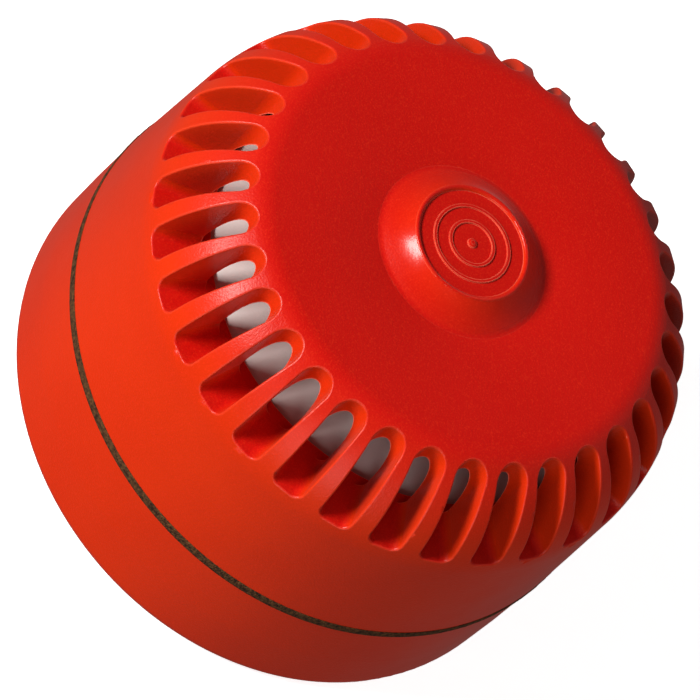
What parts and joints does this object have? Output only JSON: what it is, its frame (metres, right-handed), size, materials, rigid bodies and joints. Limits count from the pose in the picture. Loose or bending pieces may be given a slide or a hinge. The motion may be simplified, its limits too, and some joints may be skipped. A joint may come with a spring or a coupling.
{
  "type": "alarm siren",
  "caption": "Round red wall alarm siren: twist-off sounder head with a ring of sound slots in its shoulder and a central boss, on a shallow base with a seal.",
  "frame": {"origin": "centre of the flat back face that lies on the wall", "axes": "+Z out of the wall towards the face of the siren, along the centre line; +X and +Y along the two pairs of fixing slots"},
  "size_m": [0.093, 0.093, 0.063],
  "materials": {
    "red_plastic": "fine moulded texture",
    "brown_seal": "matt, grainy",
    "black_rubber": "matt",
    "grey_plastic": "moulded",
    "zinc_steel": "zinc plated",
    "spring_bronze": "bright",
    "white_plastic": "smooth moulded",
    "brass": "satin",
    "piezo_ceramic": "silvered ceramic",
    "lead_insulation": "insulated wire",
    "green_laminate": "solder mask",
    "ferrite": "sintered",
    "copper_wire": "enamelled",
    "capacitor_sleeve": "sleeved",
    "chip_epoxy": "moulded",
    "switch_blue": "moulded"
  },
  "bodies": {
    "base": {"base_shell": "red_plastic", "seal_ring": "brown_seal", "cable_grommet": "black_rubber", "terminal_carrier": "grey_plastic", "carrier_screws": "zinc_steel", "contact_springs": "spring_bronze", "terminal_clamps": "zinc_steel", "terminal_screws": "zinc_steel"},
    "head": {"front_cover": "red_plastic", "chassis": "grey_plastic", "chassis_screws": "zinc_steel", "sound_horn": "white_plastic", "piezo_disc": "brass", "piezo_ceramic": "piezo_ceramic", "piezo_retainer": "white_plastic", "piezo_leads": "lead_insulation", "circuit_board": "green_laminate", "board_screws": "zinc_steel", "inductor_core": "ferrite", "inductor_winding": "copper_wire", "capacitors": "capacitor_sleeve", "chips": "chip_epoxy", "small_components": "chip_epoxy", "contact_pins": "brass", "dip_switch_body": "switch_blue", "volume_pot_body": "switch_blue"},
    "volume_rotor": {"volume_rotor": "white_plastic"},
    "dip_slider_1": {"dip_slider_1": "white_plastic"},
    "dip_slider_2": {"dip_slider_2": "white_plastic"},
    "dip_slider_3": {"dip_slider_3": "white_plastic"},
    "dip_slider_4": {"dip_slider_4": "white_plastic"},
    "dip_slider_5": {"dip_slider_5": "white_plastic"}
  },
  "joints": [
    {"name": "head_twist", "type": "hinge", "parent": "base", "child": "head", "pos_m": [0, 0, 0], "axis": [0, 0, 1], "range_deg": [0, 20]},
    {"name": "dip_slider_1_travel", "type": "slide", "parent": "head", "child": "dip_slider_1", "axis": [0, 1, 0], "range_m": [0, 0.0016]},
    {"name": "dip_slider_2_travel", "type": "slide", "parent": "head", "child": "dip_slider_2", "axis": [0, 1, 0], "range_m": [0, 0.0016]},
    {"name": "dip_slider_3_travel", "type": "slide", "parent": "head", "child": "dip_slider_3", "axis": [0, 1, 0], "range_m": [0, 0.0016]},
    {"name": "dip_slider_4_travel", "type": "slide", "parent": "head", "child": "dip_slider_4", "axis": [0, 1, 0], "range_m": [0, 0.0016]},
    {"name": "dip_slider_5_travel", "type": "slide", "parent": "head", "child": "dip_slider_5", "axis": [0, 1, 0], "range_m": [0, 0.0016]},
    {"name": "volume_turn", "type": "hinge", "parent": "head", "child": "volume_rotor", "pos_m": [0.012, 0.012, 0.022], "axis": [0, 0, 1], "range_deg": [-135, 135]}
  ]
}
